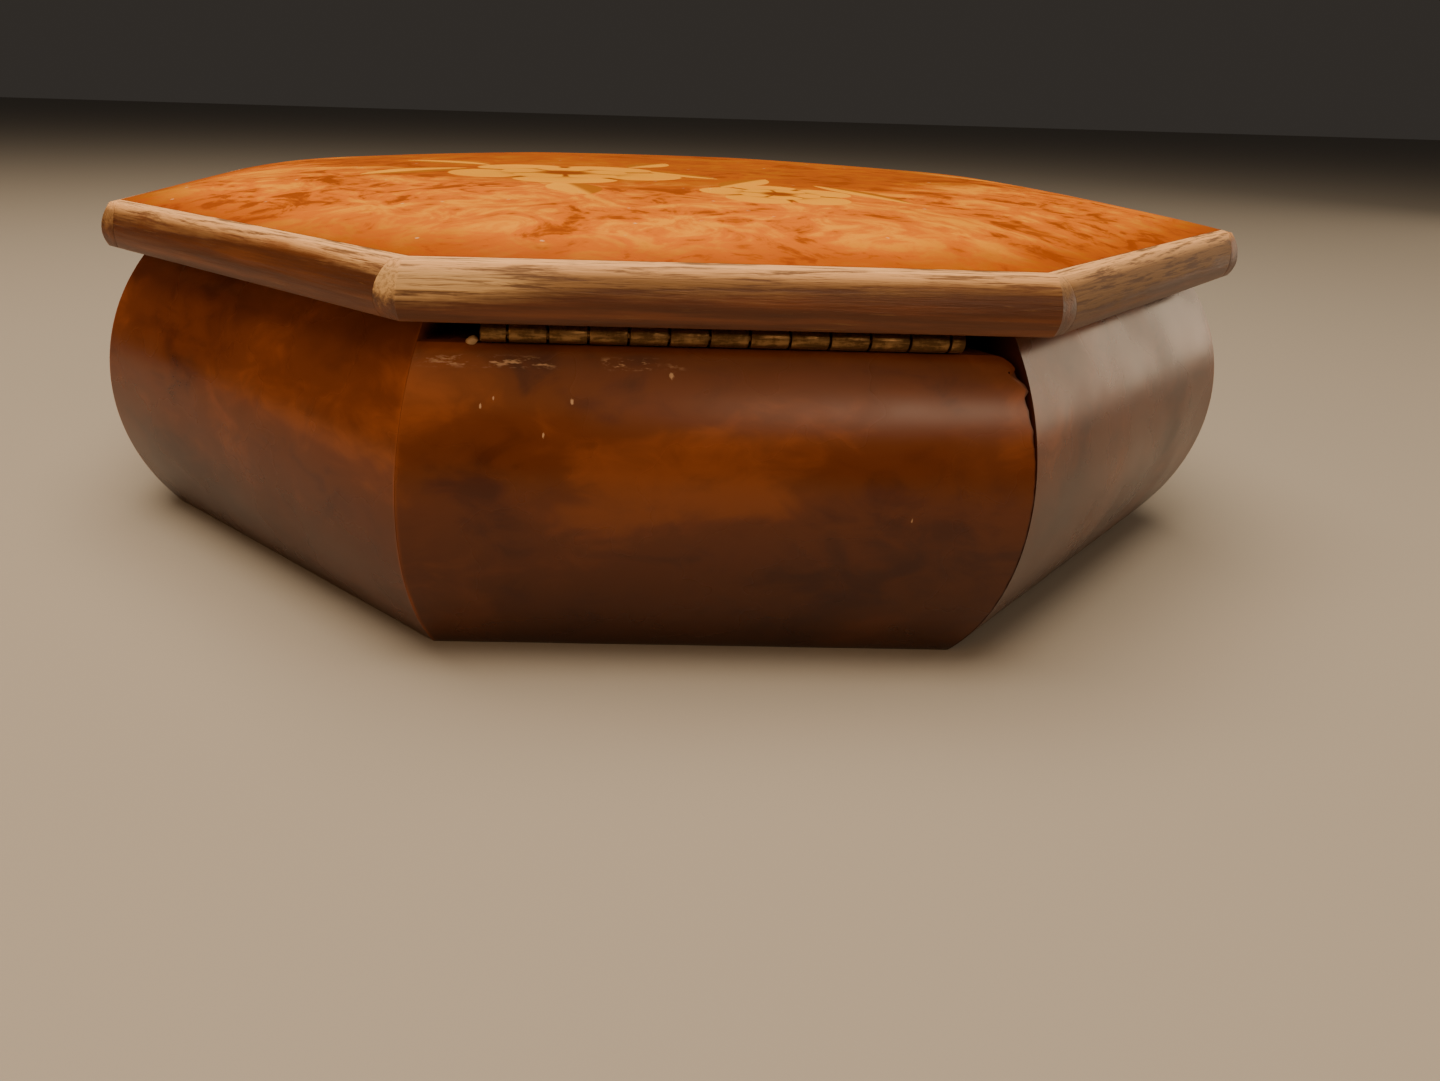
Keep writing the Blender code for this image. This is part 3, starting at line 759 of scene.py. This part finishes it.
class MUSICBOX_OT_lipping(bpy.types.Operator):
    """Eight worn lipping strips: four long ones with returned ends and four between them"""
    bl_idname = "music_box.lipping"
    bl_label = "Lipping"

    def execute(self, context):
        sizes, colours = context.scene.music_box_sizes, context.scene.music_box_colours
        blank, _ = lid_blank(sizes, SIDES * 32, (0.995, 0.985, 0.975, 0.965))
        joint = sizes.lipping_joint
        middle_z = sizes.lid_z + sizes.lipping_height / 2
        for vert in blank.verts:
            outward = Vector((vert.co.x, vert.co.y, 0.0))
            rim = min(1.0, max(0.0, (outward.length - joint) / MM))
            rough = noise.noise(Vector((vert.co.x, vert.co.y, (vert.co.z - middle_z) * 2)) / (7 * MM))
            vert.co -= outward.normalized() * rim * sizes.dent * (1.0 + rough) / 2
        for index, place in enumerate(PLACES):
            shape = blank.copy()
            keep(shape, facing(index) * joint, facing(index))
            if index % 2:
                for neighbour in (index - 1, index + 1):
                    keep(shape, facing(neighbour) * (joint - sizes.seam), -facing(neighbour))
            round_edges(shape, radians(50), sizes.arris)
            finish = lipping_finish(colours, sizes, index)
            make_piece("strip_" + place, shape, (finish,), "lid", "lipping_" + place)
        blank.free()
        return {"FINISHED"}


def rod(shape, radius, segments, start, end):
    """Add a round rod along the hinge's axis."""
    along = Matrix.Rotation(radians(90), 4, "Y") @ Matrix.Rotation(pi / segments, 4, "Z")
    place = Matrix.Translation(((start + end) / 2, AXIS.y, AXIS.z)) @ along
    bmesh.ops.create_cone(shape, cap_ends=True, segments=segments, radius1=radius, radius2=radius,
                          depth=end - start, matrix=place)


def block(shape, low, high):
    """Add a block between two corners."""
    bmesh.ops.create_cube(shape, size=1.0, matrix=Matrix.Translation((low + high) / 2)
                          @ Matrix.Diagonal((*(high - low), 1.0)))


def combined(base, steps):
    """What is left of a shape after each Boolean step; the shapes used are removed."""
    used = []
    for shape in (base, *(shape for _, shape in steps)):
        bmesh.ops.recalc_face_normals(shape, faces=shape.faces)
        mesh = bpy.data.meshes.new("hinge_work")
        shape.to_mesh(mesh)
        shape.free()
        used.append(bpy.data.objects.new("hinge_work", mesh))
        bpy.context.scene.collection.objects.link(used[-1])
    for (operation, _), tool in zip(steps, used[1:]):
        change = used[0].modifiers.new(operation, "BOOLEAN")
        change.operation = operation
        change.solver = "EXACT"
        change.object = tool
    result = bmesh.new()
    result.from_object(used[0], bpy.context.evaluated_depsgraph_get())
    for item in used:
        bpy.data.objects.remove(item, do_unlink=True)
    bmesh.ops.remove_doubles(result, verts=result.verts, dist=OVERLAP)
    return result


class MUSICBOX_OT_hinge(bpy.types.Operator):
    """Brass strip hinge: two leaves with their knuckles, on a pin, and a bead of dried glue beside it"""
    bl_idname = "music_box.hinge"
    bl_label = "Hinge"

    def execute(self, context):
        sizes, colours = context.scene.music_box_sizes, context.scene.music_box_colours
        brass = brass_finish(colours)
        half, gap = PIN_HIGH.x, sizes.knuckle_gap / 2
        bore = (PIN_HIGH.z - PIN_LOW.z) / 2 + PIN_CLEARANCE
        reach = sizes.knuckle_radius + sizes.knuckle_gap
        edges = [-half]
        while edges[-1] < half - sizes.knuckle_length:
            edges.append(edges[-1] + (sizes.knuckle_length if len(edges) > 1 else sizes.first_knuckle))
        edges.append(half)
        for side, body in ((-1, "box"), (1, "lid")):
            outer = AXIS.z + side * (sizes.knuckle_radius - sizes.leaf_step)
            inner = outer - side * sizes.leaf_thickness
            plate, knuckles, slots, bores = bmesh.new(), bmesh.new(), bmesh.new(), bmesh.new()
            block(plate, Vector((-half, LEAF_LOW.y, min(outer, inner))),
                  Vector((half, AXIS.y, max(outer, inner))))
            for number, (start, end) in enumerate(zip(edges, edges[1:])):
                if (number % 2 == 0) == (body == "box"):
                    rod(knuckles, sizes.knuckle_radius, KNUCKLE_SEGMENTS, start + gap, end - gap)
                else:
                    block(slots, Vector((start - gap, AXIS.y - reach, AXIS.z - reach)),
                          Vector((end + gap, AXIS.y + reach, AXIS.z + reach)))
            round_edges(knuckles, radians(60), sizes.knuckle_arris)
            rod(bores, bore, BORE_SEGMENTS, -half - MM, half + MM)
            leaf = combined(plate, (("DIFFERENCE", slots), ("UNION", knuckles), ("DIFFERENCE", bores)))
            make_piece("brass_leaf_" + body, leaf, (brass,), body, "hinge_leaf_" + body)
        finish_node("hinge_pin", brass)

        bead = bmesh.new()
        bmesh.ops.create_icosphere(bead, subdivisions=3, radius=sizes.glue_bead)
        for vert in bead.verts:
            vert.co *= 1.0 + 0.5 * noise.noise(vert.co / (0.8 * MM))
            vert.co.z *= 0.75
        place = (half + 1.0 * MM, AXIS.y - 0.6 * MM, sizes.planed_z + 0.35 * MM)
        bmesh.ops.translate(bead, verts=bead.verts, vec=place)
        make_piece("glue_bead", bead, (glue_finish(colours),), "box", None)
        return {"FINISHED"}


def soft_box(name, place, target, width, depth, watts, tint):
    """A soft box that faces a point."""
    lamp = bpy.data.lights.new(name, "AREA")
    lamp.shape = "RECTANGLE"
    lamp.size = width
    lamp.size_y = depth
    lamp.energy = watts
    lamp.color = tint[:3]
    made = bpy.data.objects.new(name, lamp)
    made.location = place
    made.rotation_euler = (Vector(target) - Vector(place)).to_track_quat("-Z", "Y").to_euler()
    bpy.context.scene.collection.objects.link(made)


class MUSICBOX_OT_stage(bpy.types.Operator):
    """Plain pale floor, soft studio light and the camera"""
    bl_idname = "music_box.stage"
    bl_label = "Stage"

    def execute(self, context):
        stage = context.scene.music_box_stage
        shape = bmesh.new()
        bmesh.ops.create_grid(shape, x_segments=1, y_segments=1, size=4.0)
        bmesh.ops.translate(shape, verts=shape.verts, vec=(0.0, 0.0, -0.05 * MM))
        mesh = bpy.data.meshes.new("floor")
        shape.to_mesh(mesh)
        shape.free()
        floor = bpy.data.objects.new("floor", mesh)
        context.scene.collection.objects.link(floor)
        paint, tree, shader = new_finish("floor_paint")
        shader.inputs["Base Color"].default_value = stage.floor
        shader.inputs["Roughness"].default_value = 0.8
        mesh.materials.append(paint)

        world = bpy.data.worlds.new("studio")
        world.use_nodes = True
        world.node_tree.nodes["Background"].inputs["Color"].default_value = stage.surround
        context.scene.world = world
        centre = (0.0, 0.0, 0.03)
        soft_box("ceiling", (0.10, 0.05, 0.75), centre, 0.70, 0.70, stage.ceiling, stage.lamp)
        soft_box("window", (-0.254, 0.673, 0.355), centre, 0.26, 0.11, stage.window, stage.lamp)
        soft_box("room", (0.0, 0.80, 0.64), centre, 0.90, 0.50, stage.room, stage.glow)
        soft_box("wall", (-0.87, -0.33, 0.206), centre, 0.40, 0.40, stage.wall, stage.lamp)
        soft_box("side", (0.75, 0.62, 0.28), centre, 0.50, 0.50, stage.side, stage.glow)

        data = bpy.data.cameras.new("camera")
        data.lens = stage.focal_length
        data.sensor_width = 36.0
        data.shift_x = stage.shift_x
        data.clip_start = 0.01
        camera = bpy.data.objects.new("camera", data)
        pitch, yaw, roll = stage.pitch, stage.yaw, stage.roll
        ahead = Vector((-sin(yaw) * cos(pitch), -cos(yaw) * cos(pitch), -sin(pitch)))
        level = Vector((-cos(yaw), sin(yaw), 0.0))
        upright = level.cross(ahead)
        right = cos(roll) * level + sin(roll) * upright
        up = cos(roll) * upright - sin(roll) * level
        turned = Matrix((right, up, -ahead)).transposed().to_4x4()
        camera.matrix_world = Matrix.Translation(stage.camera_place) @ turned
        context.scene.collection.objects.link(camera)
        context.scene.camera = camera
        return {"FINISHED"}


class MUSICBOX_PT_panel(bpy.types.Panel):
    """Buttons and settings for the music box"""
    bl_idname = "MUSICBOX_PT_panel"
    bl_label = "Music box"
    bl_space_type = "VIEW_3D"
    bl_region_type = "UI"
    bl_category = "Music box"

    def draw(self, context):
        for operator in OPERATORS:
            self.layout.operator(operator.bl_idname)
        for group in (context.scene.music_box_sizes, context.scene.music_box_colours,
                      context.scene.music_box_stage):
            box = self.layout.box()
            for name in group.__annotations__:
                box.prop(group, name)


OPERATORS = (MUSICBOX_OT_sides, MUSICBOX_OT_bottom_board, MUSICBOX_OT_lid_board, MUSICBOX_OT_lipping,
             MUSICBOX_OT_hinge, MUSICBOX_OT_stage)
CLASSES = (MusicBoxSizes, MusicBoxColours, MusicBoxStage, *OPERATORS, MUSICBOX_PT_panel)


def register():
    for item in CLASSES:
        bpy.utils.register_class(item)
    bpy.types.Scene.music_box_sizes = PointerProperty(type=MusicBoxSizes)
    bpy.types.Scene.music_box_colours = PointerProperty(type=MusicBoxColours)
    bpy.types.Scene.music_box_stage = PointerProperty(type=MusicBoxStage)


def unregister():
    del bpy.types.Scene.music_box_stage
    del bpy.types.Scene.music_box_colours
    del bpy.types.Scene.music_box_sizes
    for item in reversed(CLASSES):
        bpy.utils.unregister_class(item)


def main():
    register()
    bpy.ops.music_box.sides()
    bpy.ops.music_box.bottom_board()
    bpy.ops.music_box.lid_board()
    bpy.ops.music_box.lipping()
    bpy.ops.music_box.hinge()
    bpy.ops.music_box.stage()


if __name__ == "__main__":
    main()
